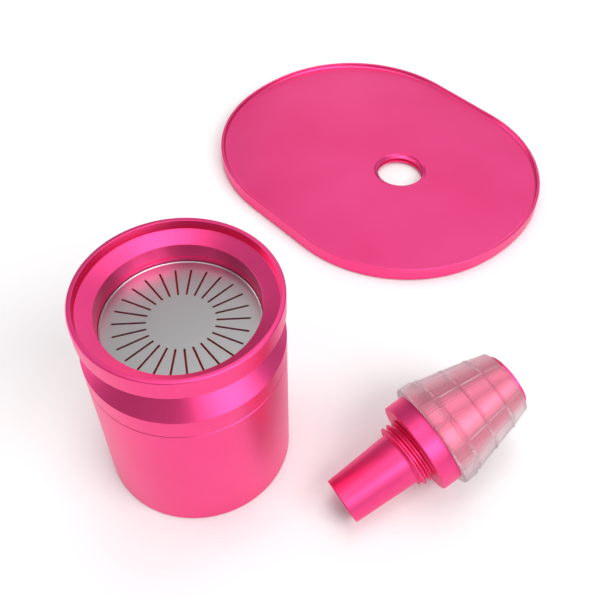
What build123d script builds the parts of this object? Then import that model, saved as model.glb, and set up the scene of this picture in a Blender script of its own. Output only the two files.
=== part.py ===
from build123d import *
import math
import os

# Nail dust collector: a suction canister, a dust tray and a hose spigot, laid out on one surface.
# Millimetres, +Z up. The origin is on the canister's axis, at the surface that the set stands on.

# ---- driving dimensions -------------------------------------------------------------------------

# Canister outside. Heights on the head are depths below the canister's top edge.
CAN_HEIGHT = 112.2
RIM_R = 45.0
SHELL_R = 44.87
SHELL_WALL = 2.0
LIP_R = 42.7
FUNNEL_TOP = (42.4, 4.5)
FUNNEL_BOTTOM = (35.3, 7.7)
RIM_DEPTH = 9.9
GROOVE_END_DEPTH = 27.4
RING_EDGE_DEPTH = 28.0
SEAM_DEPTH = 38.3
GROOVE_R = 37.2
EDGE = 0.3

# Grille seat in the head.
SEAT_R = 35.05
SEAT_TOP_DEPTH = 15.4
GRILLE_FACE_DEPTH = 18.0
GRILLE_R = 34.75
GRILLE_T = 0.8
GRILLE_LIP = 0.4
SLOT_COUNT = 26
SLOT_INNER_R = 14.85
SLOT_OUTER_R = 29.75
SLOT_WIDTH = 0.85
SLOT_TURN = 3.4
FLANGE_T = 1.2
GASKET_T = 0.6
LEDGE_R = 33.5
LEDGE_T = 3.0

# Head spigot, which plugs into the shell and carries the O-ring.
PLUG_R = 42.5
PLUG_BORE_R = 39.0
PLUG_LENGTH = 7.4
ORING_R = 1.05
ORING_FLOOR_R = 40.6
ORING_GROOVE_H = 2.4
ORING_Z = 70.1

# Filter cartridge under the grille.
FRAME_R = 33.0
FRAME_BORE_R = 31.8
FRAME_FLOOR_T = 1.5
FRAME_FLOOR_BORE_R = 28.0
SPOKE_ANGLES = (0, 60, 120)
FOAM_Z = 88.7
FOLD = 4.5
FOLD_RISE = 15.0
FOLD_THICKNESS = 3.2

# Stack of pieces inside the shell, from the base up.
FOOT_STAND = 0.6
FOOT_TOP_Z = 1.6
BASE_TOP_Z = 4.6
CRADLE_TOP_Z = 6.4
SOCKET_TOP_Z = 16.0
FAN_Z = 41.0
FAN_TOP_Z = 65.0
COVER_TOP_Z = 66.2
GASKET_TOP_Z = 68.3
CARTRIDGE_Z = 68.5
INNER_R = 42.6

# Base, foot ring and outlet.
FOOT_R = (36.5, 40.5)
OUTLET_R = 19.0
OUTLET_FLANGE_R = 25.0
OUTLET_NECK_R = 15.5
OUTLET_SCREW_PITCH_R = 22.6
OUTLET_SCREW_R = 0.9
DUCT_R = 17.4
DUCT_BORE_R = 16.0

# Battery cells and the screws between them.
CELL_R = 8.2
CELL_LENGTH = 34.0
CELL_PITCH_R = 31.0
POST_R = 3.0
POST_TOP_Z = 14.0
SCREW_PITCH_R = 31.0
SCREW_SHANK_R = 1.25
SCREW_SINK_R = 2.5
SCREW_SINK_DEPTH = 1.4
CUP_HEIGHT = 9.0
CELL_TERMINAL_R = 2.6
LINK_WIDTH = 5.0
CLEARANCE = 0.1

# Fan and motor.
SHAFT_R = 1.5
BEARING_R = 4.0
BEARING_W = 3.0
BEARING_Z = (50.5, 59.3)
STATOR_R = 10.6
TOOTH_COUNT = 9
BLADE_COUNT = 9
VANE_COUNT = 12
IMPELLER_R = 31.0
EYE_R = 22.0
CUP_R = 14.0
CUP_BORE_R = 12.65
BACKPLATE_Z = 52.5
SHROUD_Z = 62.0
CUP_TOP_Z = 64.2
FAN_SCREW_R = 36.2
FAN_WALL = 1.5
FAN_PLATE_R = 35.0
DIAPHRAGM_Z = (47.5, 49.0)
HUB_TOP_Z = 50.0
HUB_R = 8.0
STATOR_SEAT = (6.2, 53.5)
BEARING_TUBE_R = 5.2
BEARING_TUBE_TOP_Z = 62.4
STATOR_Z = (53.5, 59.5)
STATOR_RING_R = 6.6
SHROUD_T = 1.2
BLADE_T = 1.2
BLADE_SWEEP = -38
BLADE_CURVE_R = 26.0
COIL_R = (6.9, 9.2)

# Controls on the back wall, which faces +Y.
SOCKET_Z = 13.0
BUTTON_Z = 25.0
LIGHT_Z = 35.0
BOARD_Y = 36.4
BOARD_T = 1.6
BUTTON_R = 5.6
BUTTON_TOP_Y = 45.8
BEZEL_R = 6.95
BEZEL_BORE_R = 5.9
BEZEL_Y = (43.0, 45.4)
SOCKET_MOUTH_Y = 44.3
SOCKET_SIZE = (8.94, 3.2)
SOCKET_SLOT = (9.5, 3.8)
PLUNGER_R = 1.6
LIGHT_R = 1.1

# Thread shared by the outlet, the tray and the spigot.
PITCH = 3.0
THREAD_CREST_R = 16.3
THREAD_ROOT_R = 14.3
THREAD_GAP = 0.35
THREAD_HALF_FOOT = 0.44 * PITCH
THREAD_HALF_CREST = 0.08 * PITCH
THREAD_BURIED = 0.3

# Dust tray.
TRAY_POS = (102.0, 213.7)
TRAY_TURN = -47.2
TRAY_HEIGHT = 9.4
TRAY_END_R = 111.4
TRAY_END_SHIFT = -1.8
TRAY_HALF_WIDTH = 89.8
TRAY_CORNER_R = 84.7
TRAY_LIP = 1.8
TRAY_DEPTH = 2.2
TRAY_FILLET = 1.8
TRAY_HOLE = (20.5, 0.8)
PAD_R = 6.0
PAD_T = 1.0
PAD_PLACES = (62.0, 44.0)

# Hose spigot: distances along its axis from the tube's free end, and radii.
TUBE_END_R = 11.5
TUBE_BASE_R = 13.25
THREAD_START = 34.5
THREAD_FIRST_CREST = 36.6
THREAD_END = 41.8
COLLAR_START = 42.3
COLLAR_END = 52.0
COLLAR_R = 23.1
CONE_BASE_R = 22.4
CONE_END_R = 13.5
CONE_TAPER_END = 96.9
SPIGOT_LENGTH = 98.8
TUBE_BORE_R = 10.0
CONE_BORE_R = 11.7
TUBE_BORE_LENGTH = 60.0
SLEEVE_GAP = 0.3
SLEEVE_RING_R = 26.8
SLEEVE_RING_END = (26.4, 59.1)
SLEEVE_STEP = 60.1
SLEEVE_END = 96.6
SLEEVE_TIP_R = 16.5
SLEEVE_SLOPE = 0.232
BEAD_HEIGHT = 0.8
BEAD_PLACES = (61.7, 74.0, 86.7)
RIB_COUNT = 6
RIB_TURN = 20.7
RIB_WIDTH = 1.6
RIB_HEIGHT = 0.5
SPIGOT_FOOT = (70.2, -41.3)
SPIGOT_HEADING = 31.9

# ---- places worked out from the dimensions ------------------------------------------------------

SEAM_Z = CAN_HEIGHT - SEAM_DEPTH
PLUG_Z = SEAM_Z - PLUG_LENGTH
GRILLE_Z = CAN_HEIGHT - GRILLE_FACE_DEPTH - GRILLE_T
FLANGE_Z = GRILLE_Z - FLANGE_T
LEDGE_Z = FLANGE_Z - GASKET_T
SHELL_BORE_R = SHELL_R - SHELL_WALL
ON_BASE = (Align.CENTER, Align.CENTER, Align.MIN)
FEMALE_ROOT_R = THREAD_CREST_R + THREAD_GAP
FEMALE_CREST_R = THREAD_ROOT_R + THREAD_GAP
QUARTER_TURNS = (0, 90, 180, 270)
BETWEEN_CELLS = (45, 135, 225, 315)
FAN_FLOOR_TOP_Z = FAN_Z + FAN_WALL
BOARD_OUTER_Y = BOARD_Y + BOARD_T
TRAY_PLACE = Pos(*TRAY_POS, 0) * Rot(0, 0, TRAY_TURN)

# The spigot lies on its tube end and on the sleeve's ring, so both circles touch the surface.
SPIGOT_RISE = math.degrees(math.atan((SLEEVE_RING_R - TUBE_END_R) / COLLAR_END))
SPIGOT_END_Z = TUBE_END_R * math.cos(math.radians(SPIGOT_RISE))


# ---- helpers ------------------------------------------------------------------------------------

def tube(outer_r, inner_r, low, high):
    """A plain tube along Z."""
    body = Cylinder(outer_r, high - low, align=ON_BASE) - Cylinder(inner_r, high - low, align=ON_BASE)
    return Pos(0, 0, low) * body


def rod(radius, low, high):
    """A plain cylinder along Z."""
    return Pos(0, 0, low) * Cylinder(radius, high - low, align=ON_BASE)


def rod_y(radius, low, high, z):
    """A plain cylinder along Y, at x = 0."""
    return Pos(0, low, z) * Rot(-90, 0, 0) * Cylinder(radius, high - low, align=ON_BASE)


def box(x, y, z):
    """A box from its low and high limits on each axis."""
    size = (x[1] - x[0], y[1] - y[0], z[1] - z[0])
    return Pos((x[0] + x[1]) / 2, (y[0] + y[1]) / 2, (z[0] + z[1]) / 2) * Box(*size)


def turned(points):
    """A solid of revolution about Z from (radius, height) points."""
    outline = Polyline(*[(r, 0, z) for r, z in points], close=True)
    return revolve(make_face(outline), Axis.Z)


def around(angles, radius):
    """Places at the given angles on a circle about Z."""
    return [Rot(0, 0, angle) * Pos(radius, 0, 0) for angle in angles]


def evenly(count):
    """Angles of a full circle's even division."""
    return [360 / count * index for index in range(count)]


def long_ridge(root_r, crest_r, start, length):
    """A helical V ridge from a crest on +X; it points outwards where the crest is the larger radius."""
    foot_r = root_r - math.copysign(THREAD_BURIED, crest_r - root_r)
    section = Polyline(
        (foot_r, 0, -THREAD_HALF_FOOT),
        (foot_r, 0, THREAD_HALF_FOOT),
        (crest_r, 0, THREAD_HALF_CREST),
        (crest_r, 0, -THREAD_HALF_CREST),
        close=True,
    )
    path = Helix(pitch=PITCH, height=length, radius=foot_r)
    return Pos(0, 0, start) * sweep(make_face(section), path=path, is_frenet=True)


def female_ridge(low, high):
    """The ridge in a threaded hole, between two heights."""
    ridge = long_ridge(FEMALE_ROOT_R, FEMALE_CREST_R, low - PITCH, high - low + 2 * PITCH)
    return ridge & rod(FEMALE_ROOT_R + PITCH, low, high)


def male_thread():
    """Root and ridge together, cut square at both ends and bored through."""
    low, high = THREAD_START - PITCH, THREAD_END + PITCH
    start = THREAD_FIRST_CREST - 2 * PITCH
    bar = rod(THREAD_ROOT_R, low, high) + long_ridge(THREAD_ROOT_R, THREAD_CREST_R, start, high - start)
    return bar & tube(THREAD_CREST_R + PITCH, TUBE_BORE_R + 1, THREAD_START, THREAD_END)


def save(name, shape):
    """One STEP per sub-part."""
    export_step(shape, f"parts/{name}.step")


# ---- head: what lifts off the canister ----------------------------------------------------------

def head_collar():
    """Rim, funnel, finger groove and lower ring, turned from one bar, with the plug below."""
    top = CAN_HEIGHT
    flank = RIM_R - GROOVE_R
    ring_r = SHELL_R
    widening_z = LEDGE_Z - LEDGE_T - (PLUG_BORE_R - LEDGE_R)
    return turned([
        (RIM_R - EDGE, top),
        (RIM_R, top - EDGE),
        (RIM_R, top - RIM_DEPTH + EDGE),
        (RIM_R - EDGE, top - RIM_DEPTH),
        (GROOVE_R, top - RIM_DEPTH - flank + EDGE),
        (GROOVE_R, top - GROOVE_END_DEPTH + flank - 2 * EDGE),
        (RIM_R - 2 * EDGE, top - GROOVE_END_DEPTH),
        (ring_r, top - RING_EDGE_DEPTH),
        (ring_r, SEAM_Z + EDGE),
        (ring_r - EDGE, SEAM_Z),
        (PLUG_R, SEAM_Z),
        (PLUG_R, ORING_Z + ORING_GROOVE_H / 2),
        (ORING_FLOOR_R, ORING_Z + ORING_GROOVE_H / 2),
        (ORING_FLOOR_R, ORING_Z - ORING_GROOVE_H / 2),
        (PLUG_R, ORING_Z - ORING_GROOVE_H / 2),
        (PLUG_R, PLUG_Z + EDGE),
        (PLUG_R - EDGE, PLUG_Z),
        (PLUG_BORE_R, PLUG_Z),
        (PLUG_BORE_R, widening_z),
        (LEDGE_R, LEDGE_Z - LEDGE_T),
        (LEDGE_R, LEDGE_Z),
        (SEAT_R, LEDGE_Z),
        (SEAT_R, top - SEAT_TOP_DEPTH),
        (FUNNEL_BOTTOM[0], top - SEAT_TOP_DEPTH),
        (FUNNEL_BOTTOM[0], top - FUNNEL_BOTTOM[1]),
        (FUNNEL_TOP[0], top - FUNNEL_TOP[1]),
        (LIP_R, top),
    ])


def head_seal():
    """O-ring in the plug's groove; it stays just clear of the shell's bore."""
    return Pos(0, 0, ORING_Z) * Torus(ORING_FLOOR_R + ORING_R, ORING_R)


def grille_gasket():
    """Flat ring on the ledge, under the cartridge's flange."""
    return tube(GRILLE_R, LEDGE_R + EDGE, LEDGE_Z, FLANGE_Z)


# ---- filter cartridge: what lifts out through the funnel ----------------------------------------

def intake_grille():
    """Pressed steel disc with a low lip and radial slots."""
    face_z = GRILLE_Z + GRILLE_T
    disc = turned([
        (0, GRILLE_Z),
        (GRILLE_R, GRILLE_Z),
        (GRILLE_R, face_z + GRILLE_LIP),
        (GRILLE_R - GRILLE_T, face_z + GRILLE_LIP),
        (GRILLE_R - 2 * GRILLE_T, face_z),
        (0, face_z),
    ])
    slot = extrude(SlotOverall(SLOT_OUTER_R - SLOT_INNER_R, SLOT_WIDTH), 4 * GRILLE_T)
    cutter = Pos(0, 0, GRILLE_Z - GRILLE_T) * slot
    middle = (SLOT_OUTER_R + SLOT_INNER_R) / 2
    angles = [SLOT_TURN + angle for angle in evenly(SLOT_COUNT)]
    return disc - [place * cutter for place in around(angles, middle)]


def filter_frame():
    """Moulded cup with a top flange and an open spoked floor."""
    floor_top = CARTRIDGE_Z + FRAME_FLOOR_T
    cup = turned([
        (FRAME_FLOOR_BORE_R, CARTRIDGE_Z),
        (FRAME_R, CARTRIDGE_Z),
        (FRAME_R, FLANGE_Z),
        (GRILLE_R, FLANGE_Z),
        (GRILLE_R, GRILLE_Z),
        (FRAME_BORE_R, GRILLE_Z),
        (FRAME_BORE_R, floor_top),
        (FRAME_FLOOR_BORE_R, floor_top),
    ])
    reach = FRAME_FLOOR_BORE_R + 1
    spoke = box((-reach, reach), (-1, 1), (CARTRIDGE_Z, floor_top))
    return cup + [Rot(0, 0, angle) * spoke for angle in SPOKE_ANGLES]


def filter_foam():
    """Open-cell foam disc right under the grille."""
    return rod(FRAME_BORE_R - 0.2, FOAM_Z, GRILLE_Z - 0.3)


def filter_pleats():
    """Folded paper panel: a zigzag sheet cut round."""
    radius = FRAME_BORE_R - 0.2
    low = CARTRIDGE_Z + FRAME_FLOOR_T + 0.2
    count = 2 * math.ceil(2 * radius / FOLD) + 4
    line = [(-radius - FOLD + FOLD / 2 * i, low + FOLD_RISE * (i % 2)) for i in range(count)]
    outline = [(x, 0, z) for x, z in line] + [(x, 0, z + FOLD_THICKNESS) for x, z in reversed(line)]
    sheet = extrude(make_face(Polyline(*outline, close=True)), 2 * FRAME_R, both=True)
    return sheet & rod(radius, 0, CAN_HEIGHT)


# ---- canister: shell, base and outlet -----------------------------------------------------------

def canister_shell():
    """Plain tube with a stop for the base plate and three openings in the back wall."""
    bottom = FOOT_STAND
    stop_r = SHELL_BORE_R - 1.0
    stop_top = BASE_TOP_Z + 1.2
    shell = turned([
        (SHELL_BORE_R, bottom),
        (SHELL_R - 2 * EDGE, bottom),
        (SHELL_R, bottom + 2 * EDGE),
        (SHELL_R, SEAM_Z - EDGE),
        (SHELL_R - EDGE, SEAM_Z),
        (SHELL_BORE_R + EDGE, SEAM_Z),
        (SHELL_BORE_R, SEAM_Z - EDGE),
        (SHELL_BORE_R, stop_top),
        (stop_r, stop_top),
        (stop_r, BASE_TOP_Z),
        (SHELL_BORE_R, BASE_TOP_Z),
    ])
    socket_slot = extrude(SlotOverall(*SOCKET_SLOT), 10)
    shell -= Pos(0, BOARD_Y + 12, SOCKET_Z) * Rot(90, 0, 0) * socket_slot
    shell -= rod_y(BEZEL_R + CLEARANCE, BOARD_Y, SHELL_R + 1, BUTTON_Z)
    return shell - rod_y(LIGHT_R + CLEARANCE, BOARD_Y, SHELL_R + 1, LIGHT_Z)


def countersink():
    """Cone that a base screw's head sits in."""
    return Pos(0, 0, FOOT_STAND) * Cone(SCREW_SINK_R, SCREW_SHANK_R, SCREW_SINK_DEPTH, align=ON_BASE)


def base_plate():
    """Turned floor of the canister, with the foot ring's groove and countersunk holes."""
    plate = turned([
        (OUTLET_R + CLEARANCE, FOOT_STAND),
        (FOOT_R[0] - CLEARANCE, FOOT_STAND),
        (FOOT_R[0] - CLEARANCE, FOOT_TOP_Z),
        (FOOT_R[1] + CLEARANCE, FOOT_TOP_Z),
        (FOOT_R[1] + CLEARANCE, FOOT_STAND),
        (INNER_R - EDGE, FOOT_STAND),
        (INNER_R, FOOT_STAND + EDGE),
        (INNER_R, BASE_TOP_Z),
        (OUTLET_R + CLEARANCE, BASE_TOP_Z),
    ])
    hole = rod(SCREW_SHANK_R + CLEARANCE, FOOT_STAND, BASE_TOP_Z) + countersink()
    plate -= [place * hole for place in around(QUARTER_TURNS, SCREW_PITCH_R)]
    pilot = rod(OUTLET_SCREW_R + CLEARANCE, FOOT_STAND + 1, BASE_TOP_Z)
    return plate - [place * pilot for place in around(QUARTER_TURNS, OUTLET_SCREW_PITCH_R)]


def base_screws():
    """Countersunk screws from below, up into the cradle's posts."""
    head_r, head_height = SCREW_SINK_R - 0.2, SCREW_SINK_DEPTH - 0.3
    head = Pos(0, 0, FOOT_STAND + 0.1) * Cone(head_r, SCREW_SHANK_R, head_height, align=ON_BASE)
    screw = head + rod(SCREW_SHANK_R, FOOT_STAND + 0.6, POST_TOP_Z - 2)
    screw -= box((-1.6, 1.6), (-0.3, 0.3), (FOOT_STAND, FOOT_STAND + 0.7))
    return Compound([place * screw for place in around(QUARTER_TURNS, SCREW_PITCH_R)])


def foot_ring():
    """Rubber ring that the canister stands on."""
    return tube(FOOT_R[1], FOOT_R[0], 0, FOOT_TOP_Z)


def outlet_socket():
    """Threaded bush for the spigot, with a flange on the base plate."""
    lead_top = 3.0
    thread_top = SOCKET_TOP_Z - 2
    bush = turned([
        (FEMALE_ROOT_R + 0.3, FOOT_STAND),
        (OUTLET_R, FOOT_STAND),
        (OUTLET_R, BASE_TOP_Z),
        (OUTLET_FLANGE_R, BASE_TOP_Z),
        (OUTLET_FLANGE_R, CRADLE_TOP_Z),
        (OUTLET_R, CRADLE_TOP_Z),
        (OUTLET_R, SOCKET_TOP_Z),
        (OUTLET_NECK_R, SOCKET_TOP_Z),
        (OUTLET_NECK_R, thread_top),
        (FEMALE_ROOT_R, thread_top),
        (FEMALE_ROOT_R, lead_top),
        (FEMALE_ROOT_R + 0.3, lead_top),
    ])
    bush += female_ridge(lead_top + 0.3, thread_top - 0.5)
    hole = rod(OUTLET_SCREW_R + CLEARANCE, BASE_TOP_Z, CRADLE_TOP_Z)
    return bush - [place * hole for place in around(QUARTER_TURNS, OUTLET_SCREW_PITCH_R)]


def outlet_screws():
    """Small pan-head screws through the outlet's flange."""
    screw = rod(OUTLET_SCREW_R, FOOT_STAND + 1.4, CRADLE_TOP_Z) + rod(1.7, CRADLE_TOP_Z, CRADLE_TOP_Z + 1)
    screw -= box((-1.2, 1.2), (-0.25, 0.25), (CRADLE_TOP_Z + 0.5, CRADLE_TOP_Z + 2))
    return Compound([place * screw for place in around(QUARTER_TURNS, OUTLET_SCREW_PITCH_R)])


def outlet_duct():
    """Air tube from the fan's outlet down to the socket, with a flange at each end."""
    return turned([
        (DUCT_BORE_R, SOCKET_TOP_Z),
        (OUTLET_R, SOCKET_TOP_Z),
        (OUTLET_R, SOCKET_TOP_Z + 1),
        (DUCT_R, SOCKET_TOP_Z + 1),
        (DUCT_R, FAN_Z - 1),
        (OUTLET_R, FAN_Z - 1),
        (OUTLET_R, FAN_Z),
        (DUCT_BORE_R, FAN_Z),
    ])


# ---- canister: power ----------------------------------------------------------------------------

def battery_cradle():
    """Moulded ring with a cup for each cell and a post for each base screw."""
    plate = tube(SHELL_BORE_R - 1.3, OUTLET_FLANGE_R + 0.3, BASE_TOP_Z, CRADLE_TOP_Z)
    cup = tube(CELL_R + 1.15, CELL_R + 0.15, CRADLE_TOP_Z, CRADLE_TOP_Z + CUP_HEIGHT)
    post = rod(POST_R, CRADLE_TOP_Z, POST_TOP_Z)
    hole = rod(SCREW_SHANK_R + CLEARANCE, BASE_TOP_Z, POST_TOP_Z - 1)
    cups = [place * cup for place in around(BETWEEN_CELLS, CELL_PITCH_R)]
    posts = [place * post for place in around(QUARTER_TURNS, SCREW_PITCH_R)]
    holes = [place * hole for place in around(QUARTER_TURNS, SCREW_PITCH_R)]
    return plate + cups + posts - holes


def battery_cells():
    """Short cylindrical cells, standing."""
    low, high = CRADLE_TOP_Z, CRADLE_TOP_Z + CELL_LENGTH
    cell = rod(CELL_R, low, high - 1) + rod(CELL_TERMINAL_R, high - 2, high)
    return Compound([place * cell for place in around(BETWEEN_CELLS, CELL_PITCH_R)])


def cell_links():
    """Thin metal strips that join neighbouring cells' ends."""
    low = CRADLE_TOP_Z + CELL_LENGTH
    reach = CELL_PITCH_R * math.sin(math.pi / 4)
    half = LINK_WIDTH / 2
    strip = box((reach - half, reach + half), (-reach - half, reach + half), (low, low + 0.2))
    return Compound([Rot(0, 0, angle) * strip for angle in (0, 180)])


def control_board():
    """Upright board behind the back wall."""
    return box((-11, 11), (BOARD_Y, BOARD_OUTER_Y), (CRADLE_TOP_Z + 0.2, FAN_Z - 0.8))


def board_parts():
    """Chips, coil, capacitor, plug and the status LED on the board."""
    small_chip = box((-8, -3), (BOARD_Y - 1, BOARD_Y), (31, 36))
    coil = box((2, 9), (BOARD_Y - 3.2, BOARD_Y), (29, 36))
    large_chip = box((-8, 2), (BOARD_Y - 1.4, BOARD_Y), (19, 26))
    capacitor = box((5, 9), (BOARD_Y - 2, BOARD_Y), (18, 26))
    led = box((-0.8, 0.8), (BOARD_OUTER_Y, BOARD_OUTER_Y + 0.8), (LIGHT_Z - 0.6, LIGHT_Z + 0.6))
    plug = box((-9, -5), (BOARD_OUTER_Y, BOARD_OUTER_Y + 2.4), (33, 38))
    return Compound([small_chip, coil, large_chip, capacitor, led, plug])


def charging_socket():
    """Flat oval metal socket with a contact tongue."""
    depth = SOCKET_MOUTH_Y - BOARD_OUTER_Y
    width, height = SOCKET_SIZE
    shell = extrude(SlotOverall(width, height), depth)
    cavity = Pos(0, 0, -0.01) * extrude(SlotOverall(width - 0.6, height - 0.6), depth - 0.8)
    socket = Pos(0, SOCKET_MOUTH_Y, SOCKET_Z) * Rot(90, 0, 0) * (shell - cavity)
    tongue_y = (BOARD_OUTER_Y + 0.5, SOCKET_MOUTH_Y - 1)
    return socket + box((-3.3, 3.3), tongue_y, (SOCKET_Z - 0.35, SOCKET_Z + 0.35))


def switch_body():
    """Tactile switch housing on the board, with a bore for its plunger."""
    low = BOARD_OUTER_Y
    body = box((-3, 3), (low, low + 3), (BUTTON_Z - 3, BUTTON_Z + 3))
    return body - rod_y(PLUNGER_R + 0.15, low + 1.4, low + 4, BUTTON_Z)


def switch_plunger():
    """Moving stem of the switch, which follows the button."""
    return rod_y(PLUNGER_R, BOARD_OUTER_Y + 2.3, BOARD_OUTER_Y + 3.9, BUTTON_Z)


def power_button():
    """Round cap with a flange that keeps it behind the bezel."""
    low = BOARD_OUTER_Y + 3.9
    cap = rod_y(BUTTON_R, low, BUTTON_TOP_Y, BUTTON_Z) + rod_y(BUTTON_R + 1, low, low + 0.8, BUTTON_Z)
    return fillet(cap.edges().sort_by(Axis.Y)[-1], 0.6)


def button_bezel():
    """Ring pressed into the shell around the button."""
    bezel = rod_y(BEZEL_R, *BEZEL_Y, BUTTON_Z) - rod_y(BEZEL_BORE_R, *BEZEL_Y, BUTTON_Z)
    return chamfer(bezel.faces().sort_by(Axis.Y)[-1].edges(), EDGE)


def status_light():
    """Clear light guide in the back wall."""
    return rod_y(LIGHT_R, 41.0, 45.0, LIGHT_Z)


# ---- fan and motor ------------------------------------------------------------------------------

def fan_frame():
    """Ring with a floor, return vanes, a diaphragm and the motor's bearing tube."""
    frame = tube(INNER_R, INNER_R - FAN_WALL, FAN_Z, FAN_TOP_Z)
    frame += tube(INNER_R - 0.5, DUCT_BORE_R + 1, FAN_Z, FAN_FLOOR_TOP_Z)
    frame += rod(FAN_PLATE_R, *DIAPHRAGM_Z)
    frame += rod(HUB_R, DIAPHRAGM_Z[1] - 0.2, HUB_TOP_Z)
    frame += rod(STATOR_SEAT[0], HUB_TOP_Z - 0.2, STATOR_SEAT[1])
    frame += rod(BEARING_TUBE_R, STATOR_SEAT[1] - 0.5, BEARING_TUBE_TOP_Z)
    vane = box((DUCT_BORE_R + 2, INNER_R - 1), (-0.6, 0.6), (FAN_FLOOR_TOP_Z - 0.2, DIAPHRAGM_Z[0] + 0.2))
    frame += [Rot(0, 0, angle) * vane for angle in evenly(VANE_COUNT)]
    post = rod(2.2, FAN_FLOOR_TOP_Z - 0.2, FAN_TOP_Z)
    frame += [place * post for place in around(BETWEEN_CELLS, FAN_SCREW_R)]
    frame -= rod(BEARING_R + 0.05, DIAPHRAGM_Z[1] + 0.6, BEARING_TUBE_TOP_Z)
    pilot = rod(OUTLET_SCREW_R + 0.05, FAN_TOP_Z - 9, FAN_TOP_Z)
    return frame - [place * pilot for place in around(BETWEEN_CELLS, FAN_SCREW_R)]


def fan_cover():
    """Inlet plate over the impeller, with a turned-down mouth."""
    mouth_z = SHROUD_Z + SHROUD_T + 0.5
    cover = turned([
        (EYE_R - 1, mouth_z),
        (EYE_R + 0.2, mouth_z),
        (EYE_R + 0.2, FAN_TOP_Z),
        (INNER_R, FAN_TOP_Z),
        (INNER_R, COVER_TOP_Z),
        (EYE_R, COVER_TOP_Z),
        (EYE_R - 1, COVER_TOP_Z - 1),
    ])
    hole = rod(1.1, FAN_TOP_Z, COVER_TOP_Z)
    return cover - [place * hole for place in around(BETWEEN_CELLS, FAN_SCREW_R)]


def fan_screws():
    """Pan-head screws that hold the inlet plate to the frame's posts."""
    shank = rod(OUTLET_SCREW_R, FAN_TOP_Z - 8, COVER_TOP_Z)
    screw = shank + rod(2 * OUTLET_SCREW_R, COVER_TOP_Z, COVER_TOP_Z + 1.3)
    screw -= box((-1.3, 1.3), (-0.25, 0.25), (COVER_TOP_Z + 0.7, COVER_TOP_Z + 2))
    return Compound([place * screw for place in around(BETWEEN_CELLS, FAN_SCREW_R)])


def fan_gasket():
    """Soft ring between the inlet plate and the filter cartridge."""
    return tube(EYE_R + 10, EYE_R + 2, COVER_TOP_Z, GASKET_TOP_Z)


def impeller():
    """Closed impeller: motor cup, back plate, curved blades and shroud ring."""
    wheel = tube(CUP_R, CUP_BORE_R, BACKPLATE_Z, CUP_TOP_Z)
    wheel += tube(CUP_R - 0.5, SHAFT_R + 0.02, CUP_TOP_Z - 1.3, CUP_TOP_Z)
    wheel += tube(IMPELLER_R, CUP_R - 0.5, BACKPLATE_Z, BACKPLATE_Z + 1.5)
    wheel += tube(IMPELLER_R, EYE_R, SHROUD_Z, SHROUD_Z + SHROUD_T)
    sweep_angle = math.radians(BLADE_SWEEP)
    tip_r = IMPELLER_R - 0.3
    tip = (tip_r * math.cos(sweep_angle), tip_r * math.sin(sweep_angle))
    path = RadiusArc((CUP_R + 1, 0), tip, BLADE_CURVE_R)
    blade_z = BACKPLATE_Z + 1.2
    blade = extrude(trace(path, line_width=BLADE_T), SHROUD_Z + 0.4 - blade_z)
    blade = Pos(0, 0, blade_z) * blade
    return wheel + [Rot(0, 0, angle) * blade for angle in evenly(BLADE_COUNT)]


def rotor_magnet():
    """Magnet ring inside the impeller's cup."""
    return tube(CUP_BORE_R - 0.05, STATOR_R + 0.5, STATOR_Z[0] - 0.5, STATOR_Z[1] + 1)


def motor_shaft():
    """Steel shaft fixed in the impeller."""
    return rod(SHAFT_R, HUB_TOP_Z + 0.2, CUP_TOP_Z)


def motor_bearings():
    """Two bearings in the frame's tube; the shaft runs in them."""
    return Compound([tube(BEARING_R, SHAFT_R + 0.05, low, low + BEARING_W) for low in BEARING_Z])


def stator_core():
    """Laminated core: a ring with a T-shaped tooth for each coil."""
    core = tube(STATOR_RING_R, BEARING_TUBE_R + 0.05, *STATOR_Z)
    tooth = box((STATOR_RING_R - 0.3, STATOR_R - 0.6), (-0.7, 0.7), STATOR_Z)
    shoe = tube(STATOR_R, STATOR_R - 0.9, *STATOR_Z) & box((0, 12), (-2.6, 2.6), STATOR_Z)
    return core + [Rot(0, 0, angle) * (tooth + shoe) for angle in evenly(TOOTH_COUNT)]


def stator_coils():
    """One wound coil round each tooth."""
    low, high = STATOR_Z
    coil = box(COIL_R, (-1.4, 1.4), (low - 0.7, high + 0.7))
    coil -= box(COIL_R, (-0.75, 0.75), (low - 0.05, high + 0.05))
    return Compound([Rot(0, 0, angle) * coil for angle in evenly(TOOTH_COUNT)])


def motor_board():
    """Ring board on the hub, under the stator."""
    return tube(CUP_R, STATOR_SEAT[0] + 0.2, HUB_TOP_Z, HUB_TOP_Z + 1.2)


# ---- dust tray ----------------------------------------------------------------------------------

def tray_outline(inset):
    """A circle cut by two straight sides, with wide tangent arcs at the four corners."""
    half_width = TRAY_HALF_WIDTH - inset
    corner_r = TRAY_CORNER_R - inset
    corner_y = TRAY_HALF_WIDTH - TRAY_CORNER_R
    reach = TRAY_END_R - TRAY_CORNER_R
    corner_x = TRAY_END_SHIFT + math.sqrt(reach ** 2 - corner_y ** 2)
    turn = math.degrees(math.atan2(corner_y, corner_x - TRAY_END_SHIFT))
    end = CenterArc((TRAY_END_SHIFT, 0), TRAY_END_R - inset, -turn, 2 * turn)
    upper = CenterArc((corner_x, corner_y), corner_r, turn, 90 - turn)
    lower = CenterArc((corner_x, -corner_y), corner_r, -90, 90 - turn)
    right = [lower, end, upper]
    left = [edge.rotate(Axis.Z, 180) for edge in right]
    sides = [Line((-corner_x, y), (corner_x, y)) for y in (-half_width, half_width)]
    return make_face(right + left + sides)


def pad_places():
    """The four corners of the pad rectangle under the tray."""
    return [Pos(x, y, 0) for x in (-PAD_PLACES[0], PAD_PLACES[0]) for y in (-PAD_PLACES[1], PAD_PLACES[1])]


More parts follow.
